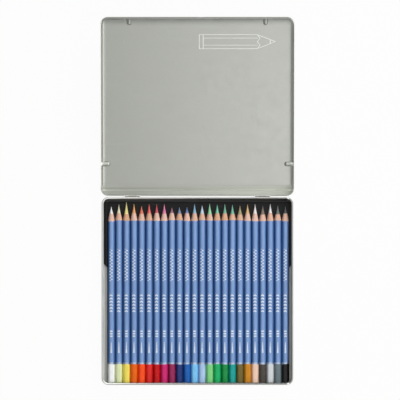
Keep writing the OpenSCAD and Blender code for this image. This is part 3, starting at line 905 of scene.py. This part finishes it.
class PENCILTIN_OT_stage(bpy.types.Operator):
    """Makes the camera, the pale floor, the softboxes and the room light"""
    bl_idname = "pencil_tin.stage"
    bl_label = "Stage"

    def execute(self, context):
        look = context.scene.pencil_tin_stage
        scene = context.scene
        scene.view_settings.view_transform = "Standard"
        target = Vector(look.look_at)

        camera = bpy.data.cameras.new("camera")
        camera.lens = look.lens
        camera.sensor_width = 36.0
        camera.clip_start, camera.clip_end = 1.0, 30.0
        seen = bpy.data.objects.new("camera", camera)
        seen.location = target + Vector((0, 0, look.distance))
        scene.collection.objects.link(seen)
        scene.camera = seen

        shape = bmesh.new()
        bmesh.ops.create_grid(shape, x_segments=8, y_segments=8, size=look.floor / 2)
        mesh = bpy.data.meshes.new("floor")
        shape.to_mesh(mesh)
        shape.free()
        floor = bpy.data.objects.new("floor", mesh)
        floor.location = (target.x, target.y, CAD_BOX[0].z - FLOOR_DROP)
        scene.collection.objects.link(floor)
        mesh.materials.append(self.floor_material())

        for name, (place, side) in SOFTBOXES.items():
            self.softbox(scene, name, target + Vector(place), target, side, getattr(look, name))
        self.room(scene, look)
        return {"FINISHED"}

    @staticmethod
    def seen_directly(tree, reflected):
        """1 for camera rays, the reflected share for glossy and transmission rays, otherwise 0."""
        rays = add_node(tree, "ShaderNodeLightPath").outputs
        mirrored = add_node(tree, "ShaderNodeMath", {
            0: rays["Is Glossy Ray"], 1: rays["Is Transmission Ray"]}, operation="MAXIMUM")
        return add_node(tree, "ShaderNodeMath", {
            0: mirrored.outputs[0], 1: reflected, 2: rays["Is Camera Ray"]},
            operation="MULTIPLY_ADD", use_clamp=True).outputs[0]

    def floor_material(self):
        """Pale matt floor that shows as white, with a trace of the object's shadow."""
        made = bpy.data.materials.new("floor")
        made.use_nodes = True
        tree = made.node_tree
        tree.nodes.clear()
        pale = add_node(tree, "ShaderNodeBsdfDiffuse", {"Color": (*FLOOR_COLOUR, 1.0)})
        white = add_node(tree, "ShaderNodeEmission")
        share = add_node(tree, "ShaderNodeMath", {
            0: self.seen_directly(tree, FLOOR_REFLECTED), 1: FLOOR_WHITE}, operation="MULTIPLY")
        mixed = add_node(tree, "ShaderNodeMixShader", {
            0: share.outputs[0], 1: pale.outputs[0], 2: white.outputs[0]})
        add_node(tree, "ShaderNodeOutputMaterial", {"Surface": mixed.outputs[0]})
        return made

    def room(self, scene, look):
        """Soft light from all round, fuller from the front, shown as white where it is seen."""
        world = bpy.data.worlds.new("room")
        world.use_nodes = True
        scene.world = world
        tree = world.node_tree
        tree.nodes.clear()
        way = add_node(tree, "ShaderNodeTexCoord")
        axes = add_node(tree, "ShaderNodeSeparateXYZ", {0: way.outputs["Generated"]})
        side = add_node(tree, "ShaderNodeMapRange", {
            "Value": axes.outputs["Y"], "From Min": 0.0, "From Max": -1.0,
            "To Min": look.ambient, "To Max": look.ambient + look.front_fill})
        level = add_node(tree, "ShaderNodeMix", {
            0: self.seen_directly(tree, ROOM_REFLECTED), 2: side.outputs[0], 3: 1.0})
        light = add_node(tree, "ShaderNodeBackground", {"Strength": level.outputs[0]})
        add_node(tree, "ShaderNodeOutputWorld", {"Surface": light.outputs[0]})

    @staticmethod
    def softbox(scene, name, place, target, side, power):
        """A square lamp that faces the point looked at and isn't seen itself."""
        light = bpy.data.lights.new(name, "AREA")
        light.shape = "SQUARE"
        light.size = side
        light.energy = power
        made = bpy.data.objects.new(name, light)
        made.location = place
        made.rotation_euler = (target - made.location).to_track_quat("-Z", "Y").to_euler()
        made.visible_camera = False
        scene.collection.objects.link(made)


class PENCILTIN_OT_pans(bpy.types.Operator):
    """Gives the base pan and the lid their tinplate"""
    bl_idname = "pencil_tin.pans"
    bl_label = "Pans"

    def execute(self, context):
        look = context.scene.pencil_tin_tin
        for name in PANS:
            even_shading(dress(name, tinplate(look, getattr(look, name), "tinplate_" + name, PANS[name])))
        return {"FINISHED"}


class PENCILTIN_OT_hinges(bpy.types.Operator):
    """Gives the hinge wires their steel"""
    bl_idname = "pencil_tin.hinges"
    bl_label = "Hinges"

    def execute(self, context):
        steel = wire_steel(context.scene.pencil_tin_tin)
        for name in PINS:
            dress(name, steel)
        return {"FINISHED"}


class PENCILTIN_OT_tray(bpy.types.Operator):
    """Gives the ribbed tray its moulded plastic"""
    bl_idname = "pencil_tin.tray"
    bl_label = "Tray"

    def execute(self, context):
        even_shading(dress(TRAY, tray_plastic(context.scene.pencil_tin_tin)))
        return {"FINISHED"}


class PENCILTIN_OT_casings(bpy.types.Operator):
    """Builds the pencils' lacquered casings"""
    bl_idname = "pencil_tin.casings"
    bl_label = "Casings"

    def execute(self, context):
        look = context.scene.pencil_tin_pencils
        dips = context.scene.pencil_tin_dips
        rng = random.Random(look.seed + 1)
        barrel, ring_foil, wood = lacquer(look), foil_ring(look), cedar(look)
        for name, core, trim in zip(CASINGS, CORES, trims(look)):
            colour = SLOT_OF[core].replace("core_", "")
            dip = dip_lacquer(colour, getattr(dips, colour))
            build_casing(name, look, trim, (barrel, dip, ring_foil, wood), rng)
        return {"FINISHED"}


class PENCILTIN_OT_cores(bpy.types.Operator):
    """Builds the pencils' bare coloured points"""
    bl_idname = "pencil_tin.cores"
    bl_label = "Cores"

    def execute(self, context):
        look = context.scene.pencil_tin_pencils
        points = context.scene.pencil_tin_points
        rng = random.Random(look.seed + 2)
        for casing, name, trim in zip(CASINGS, CORES, trims(look)):
            colour = SLOT_OF[name].replace("core_", "")
            build_core(name, casing, look, trim, pigment(look, colour, getattr(points, colour)), rng)
        return {"FINISHED"}


class PENCILTIN_PT_panel(bpy.types.Panel):
    """Lists the settings and the steps of the pencil tin"""
    bl_idname = "PENCILTIN_PT_panel"
    bl_label = "Pencil tin"
    bl_space_type = "VIEW_3D"
    bl_region_type = "UI"
    bl_category = "Pencil tin"

    def draw(self, context):
        for label, group in GROUPS.items():
            box = self.layout.box()
            box.label(text=label.replace("_", " ").title())
            settings = getattr(context.scene, label)
            for key in group.__annotations__:
                box.prop(settings, key)
        for step in STEPS:
            self.layout.operator(step.bl_idname)


GROUPS = {
    "pencil_tin_tin": PENCILTIN_PG_tin,
    "pencil_tin_pencils": PENCILTIN_PG_pencils,
    "pencil_tin_dips": PENCILTIN_PG_dips,
    "pencil_tin_points": PENCILTIN_PG_points,
    "pencil_tin_stage": PENCILTIN_PG_stage,
}
STEPS = (PENCILTIN_OT_stage, PENCILTIN_OT_pans, PENCILTIN_OT_hinges, PENCILTIN_OT_tray,
         PENCILTIN_OT_casings, PENCILTIN_OT_cores)
CLASSES = (*GROUPS.values(), *STEPS, PENCILTIN_PT_panel)


def register():
    for cls in CLASSES:
        bpy.utils.register_class(cls)
    for label, group in GROUPS.items():
        setattr(bpy.types.Scene, label, bpy.props.PointerProperty(type=group))


def unregister():
    for label in GROUPS:
        delattr(bpy.types.Scene, label)
    for cls in reversed(CLASSES):
        bpy.utils.unregister_class(cls)


def main():
    register()
    bpy.ops.pencil_tin.stage()
    bpy.ops.pencil_tin.pans()
    bpy.ops.pencil_tin.hinges()
    bpy.ops.pencil_tin.tray()
    bpy.ops.pencil_tin.casings()
    bpy.ops.pencil_tin.cores()


if __name__ == "__main__":
    main()
